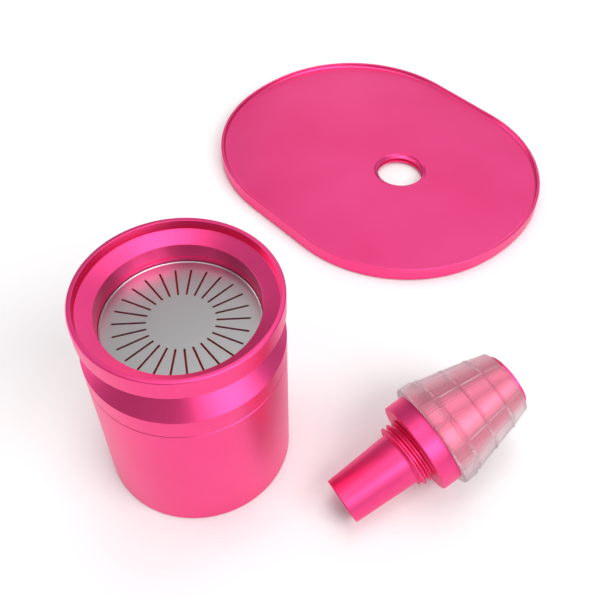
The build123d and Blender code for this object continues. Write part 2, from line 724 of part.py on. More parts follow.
def dust_tray():
    """Oval plate with a sunk floor, a thin raised edge and a threaded hole."""
    plate = Pos(0, 0, FOOT_STAND) * extrude(tray_outline(0), TRAY_HEIGHT - FOOT_STAND)
    plate = chamfer(plate.edges().group_by(Axis.Z)[-1], EDGE)
    plate = chamfer(plate.edges().group_by(Axis.Z)[0], EDGE)
    floor_z = TRAY_HEIGHT - TRAY_DEPTH
    recess = Pos(0, 0, floor_z) * extrude(tray_outline(TRAY_LIP), TRAY_DEPTH + 1)
    plate -= fillet(recess.edges().group_by(Axis.Z)[0], TRAY_FILLET)
    at_hole = Pos(*TRAY_HOLE, 0)
    plate -= at_hole * rod(FEMALE_ROOT_R, 0, TRAY_HEIGHT)
    plate += at_hole * female_ridge(FOOT_STAND + 0.4, floor_z - 0.5)
    plate -= [place * rod(PAD_R + CLEARANCE, 0, PAD_T) for place in pad_places()]
    return TRAY_PLACE * plate


def tray_pads():
    """Soft discs under the tray."""
    return TRAY_PLACE * Compound([place * rod(PAD_R, 0, PAD_T) for place in pad_places()])


# ---- hose spigot --------------------------------------------------------------------------------

def spigot_place():
    """From the spigot's own axis, with its tube end at the origin, to where it lies."""
    heading, rise = math.radians(SPIGOT_HEADING), math.radians(SPIGOT_RISE)
    along = (math.cos(rise) * math.cos(heading), math.cos(rise) * math.sin(heading), math.sin(rise))
    across = (math.sin(heading), -math.cos(heading), 0)
    return Plane(origin=(*SPIGOT_FOOT, SPIGOT_END_Z), x_dir=across, z_dir=along).location


def spigot_body():
    """Tapered tube, outside thread, collar and cone, turned from one bar."""
    body = turned([
        (TUBE_BORE_R, 0),
        (TUBE_END_R - EDGE, 0),
        (TUBE_END_R, EDGE),
        (TUBE_BASE_R, THREAD_START + EDGE),
        (THREAD_ROOT_R - EDGE, THREAD_START + EDGE),
        (THREAD_ROOT_R - EDGE, COLLAR_START),
        (COLLAR_R - 0.6, COLLAR_START),
        (COLLAR_R - 0.15, COLLAR_START + 0.7),
        (COLLAR_R, COLLAR_START + 3),
        (COLLAR_R, COLLAR_END - 3),
        (COLLAR_R - 0.15, COLLAR_END - 0.7),
        (COLLAR_R - 0.5, COLLAR_END),
        (CONE_BASE_R, COLLAR_END),
        (CONE_END_R, CONE_TAPER_END),
        (CONE_END_R, SPIGOT_LENGTH - EDGE),
        (CONE_END_R - EDGE, SPIGOT_LENGTH),
        (CONE_BORE_R, SPIGOT_LENGTH),
        (CONE_BORE_R, TUBE_BORE_LENGTH),
        (TUBE_BORE_R, TUBE_BORE_LENGTH),
    ])
    return spigot_place() * (body + male_thread())


def cone_r(along):
    """Radius of the spigot's cone at a distance along its axis."""
    share = (along - COLLAR_END) / (CONE_TAPER_END - COLLAR_END)
    return CONE_BASE_R + share * (CONE_END_R - CONE_BASE_R)


def sleeve_r(along):
    """Outer radius of the sleeve's plain taper."""
    return SLEEVE_TIP_R + SLEEVE_SLOPE * (SLEEVE_END - along)


def silicone_sleeve():
    """Soft tapered sleeve with a thick first ring, three round beads and long ribs."""
    beads = []
    for place in BEAD_PLACES:
        for shift, height in ((-1.2, 0), (-0.4, BEAD_HEIGHT), (0.4, BEAD_HEIGHT), (1.2, 0)):
            beads.append((sleeve_r(place + shift) + height, place + shift))
    sleeve = turned([
        (cone_r(COLLAR_END) + SLEEVE_GAP, COLLAR_END),
        (SLEEVE_RING_R, COLLAR_END),
        SLEEVE_RING_END,
        (sleeve_r(SLEEVE_STEP), SLEEVE_STEP),
        *beads,
        (sleeve_r(SLEEVE_END - 0.5), SLEEVE_END - 0.5),
        (SLEEVE_TIP_R - 0.5, SLEEVE_END),
        (cone_r(SLEEVE_END) + SLEEVE_GAP, SLEEVE_END),
    ])
    rib_end = SLEEVE_END - 1
    envelope = turned([
        (sleeve_r(SLEEVE_STEP) - 1, SLEEVE_STEP - 0.5),
        (sleeve_r(SLEEVE_STEP) + RIB_HEIGHT, SLEEVE_STEP - 0.5),
        (sleeve_r(rib_end) + RIB_HEIGHT, rib_end),
        (sleeve_r(rib_end) - 1, rib_end),
    ])
    bar = box((0, SLEEVE_RING_R), (-RIB_WIDTH / 2, RIB_WIDTH / 2), (COLLAR_END, SLEEVE_END))
    sleeve += [envelope & (Rot(0, 0, RIB_TURN + angle) * bar) for angle in evenly(RIB_COUNT)]
    return spigot_place() * sleeve


# ---- write every sub-part -----------------------------------------------------------------------

MAKERS = (
    head_collar, head_seal, grille_gasket,
    intake_grille, filter_frame, filter_foam, filter_pleats,
    canister_shell, base_plate, base_screws, foot_ring, outlet_socket, outlet_screws, outlet_duct,
    battery_cradle, battery_cells, cell_links, control_board, board_parts, charging_socket,
    switch_body, switch_plunger, power_button, button_bezel, status_light,
    fan_frame, fan_cover, fan_screws, fan_gasket, impeller, rotor_magnet, motor_shaft,
    motor_bearings, stator_core, stator_coils, motor_board,
    dust_tray, tray_pads, spigot_body, silicone_sleeve,
)

os.makedirs("parts", exist_ok=True)
for make in MAKERS:
    save(make.__name__, make())
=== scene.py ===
import math

import bmesh
import bpy
from mathutils import Matrix, Vector


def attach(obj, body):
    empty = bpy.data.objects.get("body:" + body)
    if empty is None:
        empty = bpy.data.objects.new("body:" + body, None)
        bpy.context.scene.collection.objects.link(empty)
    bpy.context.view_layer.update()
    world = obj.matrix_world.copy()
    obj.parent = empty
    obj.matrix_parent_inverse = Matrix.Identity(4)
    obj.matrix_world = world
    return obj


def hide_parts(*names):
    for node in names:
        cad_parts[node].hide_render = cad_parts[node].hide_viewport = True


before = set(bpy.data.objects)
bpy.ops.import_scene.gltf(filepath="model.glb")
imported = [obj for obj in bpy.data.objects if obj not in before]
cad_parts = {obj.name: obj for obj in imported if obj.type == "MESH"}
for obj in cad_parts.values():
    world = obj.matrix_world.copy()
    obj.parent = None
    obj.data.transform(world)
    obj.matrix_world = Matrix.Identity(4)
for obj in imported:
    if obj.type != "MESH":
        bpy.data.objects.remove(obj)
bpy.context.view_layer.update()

MM = 0.001
TAU = 2 * math.pi
scene = bpy.context.scene


# ---- camera -------------------------------------------------------------------------------------

CAMERA_PLACE = (50.5 * MM, -223.0 * MM, 368.4 * MM)
CAMERA_DOWN = math.radians(90 - 49.42)      # turn from straight down; it looks 49.42 degrees below level
CAMERA_LENS = 49.88                         # focal length and sensor width in mm
CAMERA_SENSOR = 36
CAMERA_NEAR = 0.01

camera = bpy.data.objects.new("view_camera", bpy.data.cameras.new("view_camera"))
scene.collection.objects.link(camera)
camera.location = CAMERA_PLACE
camera.rotation_euler = (CAMERA_DOWN, 0, 0)
camera.data.lens = CAMERA_LENS
camera.data.sensor_width = CAMERA_SENSOR
camera.data.clip_start = CAMERA_NEAR
scene.camera = camera


# ---- light and floor ----------------------------------------------------------------------------

WORLD_LEVEL = 0.35
LIGHT_TARGET = Vector((0.08, 0.1, 0.05))
LIGHT_DISTANCE = 2.0

scene.view_settings.view_transform = "Standard"
world = bpy.data.worlds.new("studio")
world.use_nodes = True
background = world.node_tree.nodes["Background"]
background.inputs["Color"].default_value = (1, 1, 1, 1)
background.inputs["Strength"].default_value = WORLD_LEVEL
scene.world = world


def soft_light(name, azimuth, elevation, size, radiance):
    """A soft box aimed at the set. Azimuth runs from +X towards +Y; radiance is how bright it looks."""
    turn = math.radians(azimuth)
    height = math.radians(elevation)
    direction = Vector((
        math.cos(height) * math.cos(turn),
        math.cos(height) * math.sin(turn),
        math.sin(height),
    ))
    data = bpy.data.lights.new(name, "AREA")
    data.shape = "RECTANGLE"
    data.size, data.size_y = size
    data.energy = radiance * math.pi * size[0] * size[1]
    light = bpy.data.objects.new(name, data)
    scene.collection.objects.link(light)
    light.location = LIGHT_TARGET + direction * LIGHT_DISTANCE
    light.rotation_euler = direction.to_track_quat("Z", "Y").to_euler()


soft_light("key_box", 313, 45, (1.9, 0.9), 4.2)
soft_light("key_low", 320, 26, (1.4, 0.55), 2.3)
soft_light("overhead", 0, 90, (0.9, 0.9), 3.2)
soft_light("left_back", 165, 20, (1.2, 0.6), 4.2)
soft_light("left_front", 232, 50, (1.1, 0.8), 1.3)
soft_light("back_low", 90, 10, (0.9, 0.6), 1.4)
soft_light("back_middle", 70, 38, (1.9, 0.8), 0.68)
soft_light("back_high", 85, 70, (1.2, 0.6), 2.1)


# ---- materials ----------------------------------------------------------------------------------

NOISE_LOW = 0.3     # most noise values lie between these two
NOISE_HIGH = 0.7


def new_material(name, color, metallic, roughness):
    """A Principled material; returns the material, its nodes, its links and the shader."""
    material = bpy.data.materials.new(name)
    material.use_nodes = True
    shader = material.node_tree.nodes["Principled BSDF"]
    shader.inputs["Base Color"].default_value = (*color, 1)
    shader.inputs["Metallic"].default_value = metallic
    shader.inputs["Roughness"].default_value = roughness
    return material, material.node_tree.nodes, material.node_tree.links, shader


def coordinates_of(nodes, own=False):
    """Object coordinates, or the ones kept from before a piece was laid down."""
    if own:
        node = nodes.new("ShaderNodeAttribute")
        node.attribute_name = "own"
        return node.outputs["Vector"]
    return nodes.new("ShaderNodeTexCoord").outputs["Object"]


def math_node(nodes, links, operation, first, second=None):
    """One Math node; each input is a socket or a number."""
    node = nodes.new("ShaderNodeMath")
    node.operation = operation
    for index, value in enumerate((first, second)):
        if isinstance(value, (int, float)):
            node.inputs[index].default_value = value
        elif value is not None:
            links.new(value, node.inputs[index])
    return node.outputs[0]


def noise(nodes, links, vector, scale, detail=2.0):
    """Noise texture on a vector socket."""
    node = nodes.new("ShaderNodeTexNoise")
    node.inputs["Scale"].default_value = scale
    node.inputs["Detail"].default_value = detail
    links.new(vector, node.inputs["Vector"])
    return node.outputs["Fac"]


def spread(nodes, links, value, low, high):
    """Maps a noise value to the range from low to high."""
    node = nodes.new("ShaderNodeMapRange")
    node.inputs["From Min"].default_value = NOISE_LOW
    node.inputs["From Max"].default_value = NOISE_HIGH
    node.inputs["To Min"].default_value = low
    node.inputs["To Max"].default_value = high
    links.new(value, node.inputs["Value"])
    return node.outputs["Result"]


def tint(nodes, links, value, first, second):
    """A colour that runs from first to second with a noise value."""
    node = nodes.new("ShaderNodeMix")
    node.data_type = "RGBA"
    node.inputs["A"].default_value = (*first, 1)
    node.inputs["B"].default_value = (*second, 1)
    links.new(value, node.inputs["Factor"])
    return node.outputs["Result"]


def bump(nodes, links, shader, value, distance):
    """Bump from a noise value; distance is the height of its full range in metres."""
    node = nodes.new("ShaderNodeBump")
    node.inputs["Strength"].default_value = 1.0
    node.inputs["Distance"].default_value = distance
    links.new(value, node.inputs["Height"])
    links.new(node.outputs["Normal"], shader.inputs["Normal"])


def lathe_vector(nodes, links, coordinates):
    """Coordinates that make noise run in rings about the piece's Z axis: (radius, height, 0)."""
    separate = nodes.new("ShaderNodeSeparateXYZ")
    links.new(coordinates, separate.inputs[0])
    x2 = math_node(nodes, links, "MULTIPLY", separate.outputs["X"], separate.outputs["X"])
    y2 = math_node(nodes, links, "MULTIPLY", separate.outputs["Y"], separate.outputs["Y"])
    radius = math_node(nodes, links, "SQRT", math_node(nodes, links, "ADD", x2, y2))
    combine = nodes.new("ShaderNodeCombineXYZ")
    links.new(radius, combine.inputs["X"])
    links.new(separate.outputs["Z"], combine.inputs["Y"])
    return combine.outputs[0]


ANODISED_DEEP = (0.86, 0.06, 0.235)
ANODISED_LIGHT = (0.91, 0.08, 0.285)
ANODISED_ROUGHNESS = 0.35
SPIGOT_ROUGHNESS = 0.42


def anodised(name, turned, own=False, roughness=ANODISED_ROUGHNESS):
    """Satin dyed aluminium: fine blasted grain, and faint tool rings where the piece is turned."""
    material, nodes, links, shader = new_material(name, ANODISED_LIGHT, 1.0, roughness)
    coordinates = coordinates_of(nodes, own)
    cloud = noise(nodes, links, coordinates, 14, 3)
    color = tint(nodes, links, spread(nodes, links, cloud, 0, 1), ANODISED_DEEP, ANODISED_LIGHT)
    links.new(color, shader.inputs["Base Color"])
    grain = noise(nodes, links, coordinates, 5200, 2)
    height = grain
    if turned:
        rings = noise(nodes, links, lathe_vector(nodes, links, coordinates), 2600, 2)
        height = math_node(nodes, links, "ADD", grain, rings)
    smudge = noise(nodes, links, coordinates, 55, 4)
    links.new(spread(nodes, links, smudge, roughness, roughness + 0.03), shader.inputs["Roughness"])
    bump(nodes, links, shader, height, 0.000002)
    return material


def brushed(name, color, rings_scale):
    """Metal with fine rings about Z: steel or copper by its colour."""
    material, nodes, links, shader = new_material(name, color, 1.0, 0.3)
    coordinates = coordinates_of(nodes)
    rings = noise(nodes, links, lathe_vector(nodes, links, coordinates), rings_scale, 3)
    patches = noise(nodes, links, coordinates, 90, 3)
    dark = tuple(channel * 0.86 for channel in color)
    rings_color = tint(nodes, links, spread(nodes, links, rings, 0, 1), dark, color)
    links.new(rings_color, shader.inputs["Base Color"])
    links.new(spread(nodes, links, patches, 0.26, 0.36), shader.inputs["Roughness"])
    bump(nodes, links, shader, rings, 0.000006)
    return material


def satin_steel(name, color):
    """Blasted steel sheet: an even fine grain and slow patches of roughness."""
    material, nodes, links, shader = new_material(name, color, 1.0, 0.36)
    coordinates = coordinates_of(nodes)
    grain = noise(nodes, links, coordinates, 4200, 3)
    patches = noise(nodes, links, coordinates, 60, 2)
    dark = tuple(channel * 0.94 for channel in color)
    grain_color = tint(nodes, links, spread(nodes, links, grain, 0, 1), dark, color)
    links.new(grain_color, shader.inputs["Base Color"])
    links.new(spread(nodes, links, patches, 0.35, 0.39), shader.inputs["Roughness"])
    bump(nodes, links, shader, grain, 0.000002)
    return material


def grainy(name, first, second, scale, roughness, height, metallic=0.0):
    """Moulded or matt surface: two close colours, uneven roughness and a fine grain."""
    material, nodes, links, shader = new_material(name, first, metallic, roughness)
    coordinates = coordinates_of(nodes)
    fine = noise(nodes, links, coordinates, scale, 4)
    broad = noise(nodes, links, coordinates, scale / 12, 3)
    color = tint(nodes, links, spread(nodes, links, broad, 0, 1), first, second)
    links.new(color, shader.inputs["Base Color"])
    uneven = spread(nodes, links, fine, roughness - 0.06, roughness + 0.06)
    links.new(uneven, shader.inputs["Roughness"])
    bump(nodes, links, shader, fine, height)
    return material


def foam_painted_shade_and_reflection(name):
    """Open-cell foam: its dark red colour is a painted reflection of the pink metal round it, and the round
    cells' middles are darkened as painted shade in their hollows.
    """
    material, nodes, links, shader = new_material(name, (0.3, 0.006, 0.02), 0.0, 0.9)
    cells = nodes.new("ShaderNodeTexVoronoi")
    cells.inputs["Scale"].default_value = 1400
    links.new(coordinates_of(nodes), cells.inputs["Vector"])
    distance = cells.outputs["Distance"]
    # Painted shade: darker in each cell's hollow middle and lighter at the cell walls. The red in both
    # colours is a painted reflection of the pink metal.
    color = tint(nodes, links, distance, (0.12, 0.001, 0.004), (0.4, 0.003, 0.015))
    links.new(color, shader.inputs["Base Color"])
    bump(nodes, links, shader, distance, 0.0003)
    return material


STREAKS_AROUND = 3.0     # the noise runs much faster round the sleeve than along it
STREAKS_ALONG = 0.9


def silicone(name):
    """Milky see-through silicone with fine drawn streaks along the sleeve."""
    material, nodes, links, shader = new_material(name, (0.96, 0.82, 0.86), 0.0, 0.3)
    coordinates = coordinates_of(nodes, True)
    separate = nodes.new("ShaderNodeSeparateXYZ")
    links.new(coordinates, separate.inputs[0])
    angle = math_node(nodes, links, "ARCTAN2", separate.outputs["Y"], separate.outputs["X"])
    combine = nodes.new("ShaderNodeCombineXYZ")
    around = math_node(nodes, links, "MULTIPLY", angle, STREAKS_AROUND)
    links.new(around, combine.inputs["X"])
    lengthwise = math_node(nodes, links, "MULTIPLY", separate.outputs["Z"], STREAKS_ALONG)
    links.new(lengthwise, combine.inputs["Y"])
    streaks = noise(nodes, links, combine.outputs[0], 12, 2)
    share = spread(nodes, links, streaks, 0, 1)
    color = tint(nodes, links, share, (0.92, 0.74, 0.8), (1.0, 0.88, 0.91))
    links.new(color, shader.inputs["Base Color"])
    links.new(spread(nodes, links, streaks, 0.26, 0.36), shader.inputs["Roughness"])
    shader.inputs["Transmission Weight"].default_value = 0.91
    shader.inputs["IOR"].default_value = 1.34
    shader.inputs["Coat Weight"].default_value = 0.3
    shader.inputs["Coat Roughness"].default_value = 0.35
    bump(nodes, links, shader, streaks, 0.000003)
    return material


def clear(name):
    """Light guide: clear moulded plastic with a faint flow pattern."""
    material, nodes, links, shader = new_material(name, (0.92, 0.96, 1.0), 0.0, 0.12)
    shader.inputs["Transmission Weight"].default_value = 0.9
    flow = noise(nodes, links, coordinates_of(nodes), 900, 2)
    links.new(spread(nodes, links, flow, 0.08, 0.2), shader.inputs["Roughness"])
    bump(nodes, links, shader, flow, 0.00002)
    return material


materials = {
    "anodised": anodised("anodised_turned", True),
    "spigot": anodised("anodised_spigot", True, True, SPIGOT_ROUGHNESS),
    "tray": anodised("anodised_plate", False, True),
    "steel": satin_steel("grille_steel", (0.435, 0.43, 0.435)),
    "hardware": brushed("hardware_steel", (0.52, 0.52, 0.54), 3000),
    "rubber": grainy("black_rubber", (0.018, 0.017, 0.018), (0.03, 0.029, 0.03), 2600, 0.75, 0.00006),
    "black": grainy("black_plastic", (0.02, 0.02, 0.022), (0.032, 0.032, 0.035), 2200, 0.5, 0.00004),
    "white": grainy("white_plastic", (0.78, 0.78, 0.76), (0.7, 0.7, 0.69), 1500, 0.35, 0.00002),
    "paper": grainy("filter_paper", (0.8, 0.78, 0.72), (0.7, 0.68, 0.62), 1800, 0.85, 0.0001),
    "magnet": grainy("magnet", (0.09, 0.09, 0.095), (0.14, 0.14, 0.145), 1600, 0.4, 0.00003, 1.0),
    "wrap": grainy("cell_wrap", (0.03, 0.12, 0.4), (0.04, 0.15, 0.46), 700, 0.3, 0.00002),
    "board": grainy("board_green", (0.008, 0.1, 0.04), (0.012, 0.14, 0.06), 500, 0.35, 0.00002),
    "copper": brushed("copper_wire", (0.75, 0.34, 0.16), 4200),
    # The foam material carries painted shade in its cells and a painted reflection of the pink metal as its
    # red.
    "foam_painted_shade_and_reflection": foam_painted_shade_and_reflection("filter_foam"),
    "silicone": silicone("silicone"),
    "clear": clear("light_guide"),
}

NODE_MATERIALS = {
    "rubber": ("head_seal", "grille_gasket", "foot_ring", "tray_pads"),
    # These foam parts get the painted shade and the painted pink reflection of the foam material.
    "foam_painted_shade_and_reflection": ("fan_gasket", "filter_foam"),
    "paper": ("filter_pleats",),
    "black": ("filter_frame", "outlet_duct", "battery_cradle", "fan_frame", "fan_cover", "switch_body",
              "board_parts"),
    "white": ("impeller", "switch_plunger"),
    "hardware": ("base_screws", "outlet_screws", "fan_screws", "motor_shaft", "motor_bearings",
                 "cell_links", "charging_socket"),
    "magnet": ("rotor_magnet", "stator_core"),
    "wrap": ("battery_cells",),
    "board": ("control_board", "motor_board"),
    "copper": ("stator_coils",),
    "clear": ("status_light",),
    "steel": ("intake_grille",),
    "anodised": ("head_collar", "canister_shell", "base_plate", "outlet_socket", "button_bezel",
                 "power_button", "spigot_body"),
    "tray": ("dust_tray",),
    "silicone": ("silicone_sleeve",),
}


def paint(piece, material):
    """Gives a piece one material in every slot."""
    piece.data.materials.clear()
    piece.data.materials.append(material)


for key, names in NODE_MATERIALS.items():
    for node_name in names:
        paint(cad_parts[node_name], materials[key])


# ---- meshes -------------------------------------------------------------------------------------

CORNER_STEPS = 5
ON_AXIS = 0.0001         # a radius in mm below this lies on the axis
DISC_STEPS = 320
TURNED_STEPS = 256


def rounded(points):
    """Profile points, each (radius, height, corner radius); corners with a radius become arcs."""
    result = []
    count = len(points)
    for index, (r, z, corner) in enumerate(points):
        here = Vector((r, z))
        if corner == 0:
            result.append(here)
            continue
        back = Vector(points[index - 1][:2]) - here
        ahead = Vector(points[(index + 1) % count][:2]) - here
        half = back.angle(ahead) / 2
        reach = min(corner / math.tan(half), back.length * 0.49, ahead.length * 0.49)
        start = here + back.normalized() * reach
        end = here + ahead.normalized() * reach
        for step in range(CORNER_STEPS + 1):
            share = step / CORNER_STEPS
            first = start.lerp(here, share)
            result.append(first.lerp(here.lerp(end, share), share))
    return result


def mesh_piece(name, vertices, faces, material, sharp_angle=40):
    """A smooth-shaded mesh object with sharp edges kept."""
    mesh = bpy.data.meshes.new(name)
    mesh.from_pydata(vertices, [], faces)
    work = bmesh.new()
    work.from_mesh(mesh)
    bmesh.ops.recalc_face_normals(work, faces=work.faces)
    work.to_mesh(mesh)
    work.free()
    piece = bpy.data.objects.new(name, mesh)
    scene.collection.objects.link(piece)
    mesh.materials.append(material)
    finish_shading(piece, sharp_angle)
    return piece


def finish_shading(piece, sharp_angle):
    """Smooth faces, sharp creases and even highlights."""
    piece.data.shade_smooth()
    piece.data.set_sharp_from_angle(angle=math.radians(sharp_angle))
    weighted = piece.modifiers.new("weighted", "WEIGHTED_NORMAL")
    weighted.keep_sharp = True


def lathe(name, profile, material, count=TURNED_STEPS, sharp_angle=40):
    """A closed profile of (radius, height) turned about Z, in mm."""
    vertices = []
    rings = []
    for r, z in profile:
        if r < ON_AXIS:
            rings.append([len(vertices)] * count)
            vertices.append((0, 0, z * MM))
            continue
        rings.append(list(range(len(vertices), len(vertices) + count)))
        for step in range(count):
            angle = TAU * step / count
            vertices.append((r * math.cos(angle) * MM, r * math.sin(angle) * MM, z * MM))
    faces = []
    for index, ring in enumerate(rings):
        other = rings[(index + 1) % len(rings)]
        if ring[0] == ring[1] and other[0] == other[1]:
            continue
        for step in range(count):
            after = (step + 1) % count
            corners = [ring[step], ring[after], other[after], other[step]]
            faces.append(list(dict.fromkeys(corners)))
    return mesh_piece(name, vertices, faces, material, sharp_angle)


def loft_faces(rows, columns):
    """Quads between closed loops of points, each loop joined to the next and the last to the first."""
    faces = []
    for row in range(rows):
        below = (row + 1) % rows
        for column in range(columns):
            beside = (column + 1) % columns
            faces.append((row * columns + column, row * columns + beside,
                          below * columns + beside, below * columns + column))
    return faces


THREAD_PITCH = 3.0
THREAD_STEPS = 120       # steps in a turn
THREAD_FOOT = 1.3        # half the ridge's width at its foot
THREAD_CREST = 0.34      # and at its crest, before the crest's edges are eased
THREAD_SHOULDER = 0.88   # where the easing starts, as a share of the ridge's height


def helical_ridge(foot_r, crest_r, crest_z, below, turns, material):
    """A V ridge on a right-hand helix about Z, in mm, with a crest at crest_z on the +X side."""
    shoulder_r = foot_r + (crest_r - foot_r) * THREAD_SHOULDER
    section = (
        (foot_r, -THREAD_FOOT),
        (shoulder_r, -THREAD_CREST - 0.06),
        (crest_r, -THREAD_CREST + 0.16),
        (crest_r, THREAD_CREST - 0.16),
        (shoulder_r, THREAD_CREST + 0.06),
        (foot_r, THREAD_FOOT),
    )
    vertices = []
    faces = []
    wide = len(section)
    count = turns * THREAD_STEPS
    for step in range(count + 1):
        turn = step / THREAD_STEPS
        angle = TAU * turn
        middle = crest_z + THREAD_PITCH * (turn - below)
        for r, shift in section:
            vertices.append((r * math.cos(angle) * MM, r * math.sin(angle) * MM, (middle + shift) * MM))
    for step in range(count):
        for side in range(wide):
            other = (side + 1) % wide
            faces.append((step * wide + side, step * wide + other,
                          (step + 1) * wide + other, (step + 1) * wide + side))
    faces.append(tuple(range(wide)))
    faces.append(tuple(count * wide + side for side in range(wide)))
    return mesh_piece("ridge", vertices, faces, material)


def square_cut(ridge, inner_r, outer_r, low, high, material):
    """Trims a ridge square at both ends."""
    ring = lathe("ring", [(inner_r, low), (outer_r, low), (outer_r, high), (inner_r, high)], material)
    combine(ridge, [ring], "INTERSECT")


def combine(piece, tools, operation, sharp_angle=40):
    """Joins or cuts a piece with other meshes, which are used up."""
    for tool in tools:
        modifier = piece.modifiers.new("boolean", "BOOLEAN")
        modifier.operation = operation
        modifier.solver = "EXACT"
        modifier.object = tool
    piece.modifiers.remove(piece.modifiers["weighted"])
    bpy.context.view_layer.update()
    evaluated = piece.evaluated_get(bpy.context.evaluated_depsgraph_get())
    solid = bpy.data.meshes.new_from_object(evaluated)
    piece.modifiers.clear()
    piece.data = solid
    for tool in tools:
        bpy.data.objects.remove(tool)
    finish_shading(piece, sharp_angle)


def stand_in(piece, node, body, place=Matrix.Identity(4)):
    """The piece shows in place of a CAD node and moves with its body.

    Its own coordinates are kept for its material before it is laid in place.
    """
    own = piece.data.attributes.new("own", "FLOAT_VECTOR", "POINT")
    values = [0.0] * (3 * len(piece.data.vertices))
    piece.data.vertices.foreach_get("co", values)
    own.data.foreach_set("vector", values)
    piece.data.transform(place)
    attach(piece, body)
    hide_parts(node)


# Head collar, turned in one piece. Heights are in mm from the table.
TOP = 112.2
SEAM = TOP - 38.3        # the canister's shell starts here
HEAD_FIT_R = 42.5        # the part that goes into the shell
SEAL_GROOVE = (71.3, 68.9)
DISC_SEAT_R = 35.05
DISC_SEAT_Z = 92.4

head_outline = rounded([
    (45.0, TOP, 0.9),
    (45.0, TOP - 9.9, 0.35),
    (37.2, TOP - 17.6, 0.2),
    (37.2, TOP - 19.6, 0.2),
    (44.87, TOP - 27.9, 0.2),
    (44.87, SEAM, 0.6),
    (HEAD_FIT_R, SEAM, 0),
    (HEAD_FIT_R, SEAL_GROOVE[0], 0),
    (40.6, SEAL_GROOVE[0], 0),
    (40.6, SEAL_GROOVE[1], 0),
    (HEAD_FIT_R, SEAL_GROOVE[1], 0),
    (HEAD_FIT_R, 66.5, 0.3),
    (39.0, 66.5, 0.2),
    (39.0, 83.9, 0),
    (33.5, 89.4, 0),
    (33.5, DISC_SEAT_Z, 0),
    (DISC_SEAT_R, DISC_SEAT_Z, 0),
    (DISC_SEAT_R, TOP - 15.4, 0),
    (35.3, TOP - 15.4, 0),
    (35.3, TOP - 7.7, 0.35),
    (42.4, TOP - 4.5, 0.25),
    (42.7, TOP, 0.3),
])
head = lathe("head_turned", head_outline, materials["anodised"], DISC_STEPS, 30)
stand_in(head, "head_collar", "head")


# Intake grille: a pressed disc with a low rim and radial slots.
GRILLE_TOP = TOP - 18.0
GRILLE_R = 34.9
GRILLE_THICK = 0.8
GRILLE_LIP = 0.35
SLOT_COUNT = 26
SLOT_TURN = math.radians(3.4)
SLOT_ENDS = (14.85, 29.75)
SLOT_HALF_WIDTH = 0.475
SLOT_END_STEPS = 8

grille_outline = rounded([
    (0, GRILLE_TOP - GRILLE_THICK, 0),
    (GRILLE_R, GRILLE_TOP - GRILLE_THICK, GRILLE_THICK),
    (GRILLE_R, GRILLE_TOP + GRILLE_LIP, 0.12),
    (34.55, GRILLE_TOP + GRILLE_LIP, 0.12),
    (34.2, GRILLE_TOP, 0.3),
    (0, GRILLE_TOP, 0),
])
grille = lathe("grille_pressed", grille_outline, materials["steel"], DISC_STEPS, 50)


def slot_cutter(angle):
    """A long bar with round ends, set radially."""
    inner, outer = SLOT_ENDS
    half = SLOT_HALF_WIDTH
    outline = []
    for centre, first in ((outer - half, -90), (inner + half, 90)):
        for step in range(SLOT_END_STEPS + 1):
            turn = math.radians(first + 180 * step / SLOT_END_STEPS)
            outline.append((centre + half * math.cos(turn), half * math.sin(turn)))
    around = Matrix.Rotation(angle, 3, "Z")
    vertices = []
    for z in (GRILLE_TOP - 2, GRILLE_TOP + 1):
        vertices += [around @ Vector((x * MM, y * MM, z * MM)) for x, y in outline]
    count = len(outline)
    faces = [tuple(range(count)), tuple(range(count, 2 * count))]
    faces += [(i, (i + 1) % count, count + (i + 1) % count, count + i) for i in range(count)]
    return mesh_piece("slot", vertices, faces, materials["steel"])


slot_cutters = [slot_cutter(SLOT_TURN + TAU * index / SLOT_COUNT) for index in range(SLOT_COUNT)]
combine(grille, slot_cutters, "DIFFERENCE", 50)
stand_in(grille, "intake_grille", "cartridge")


# Dust tray: loops of one outline, from the hole's foot round the outside and back to the hole.
TRAY_HOLE = Vector((20.5, 0.8))
TRAY_HALF_WIDTH = 89.8
TRAY_CORNER_R = 84.7
TRAY_END_R = 111.4       # the shallow arc at each end, and its centre's distance past the middle
TRAY_END_SHIFT = 1.8
TRAY_FLOOR = 7.2
TRAY_FLOOR_INSET = 3.6
TRAY_BEND_R = 1.8        # from the floor up into the raised edge
TRAY_BASE_EDGE = 0.5     # roundings, from the base's edge up to the raised edge's inside
TRAY_TOP_OUTER = 0.45
TRAY_TOP_INNER = 0.3
THREAD_HOLE_R = 16.65
THREAD_HOLE_EDGE_R = 16.95
TRAY_PLACE = (102.0 * MM, 213.7 * MM, 0)
TRAY_TURN = math.radians(-47.2)


def tray_loop(inset):
    """The oval outline, inset by some mm: round ends, wide corner arcs and straight sides."""
    half_width, corner_r = TRAY_HALF_WIDTH - inset, TRAY_CORNER_R - inset
    corner_y = TRAY_HALF_WIDTH - TRAY_CORNER_R
    reach = TRAY_END_R - TRAY_CORNER_R
    corner_x = -TRAY_END_SHIFT + math.sqrt(reach ** 2 - corner_y ** 2)
    turn = math.atan2(corner_y, corner_x + TRAY_END_SHIFT)
    right = []
    arcs = (
        ((corner_x, -corner_y), corner_r, -TAU / 4, -turn, 90),
        ((-TRAY_END_SHIFT, 0), TRAY_END_R - inset, -turn, turn, 24),
        ((corner_x, corner_y), corner_r, turn, TAU / 4, 90),
    )
    for (centre_x, centre_y), radius, start, end, steps in arcs:
        for step in range(steps):
            angle = start + (end - start) * step / steps
            right.append(Vector((centre_x + radius * math.cos(angle), centre_y + radius * math.sin(angle))))
    side_steps = 12
    side = [
        Vector((corner_x - 2 * corner_x * step / side_steps, half_width))
        for step in range(side_steps)
    ]
    half = right + side
    return half + [-point for point in half]


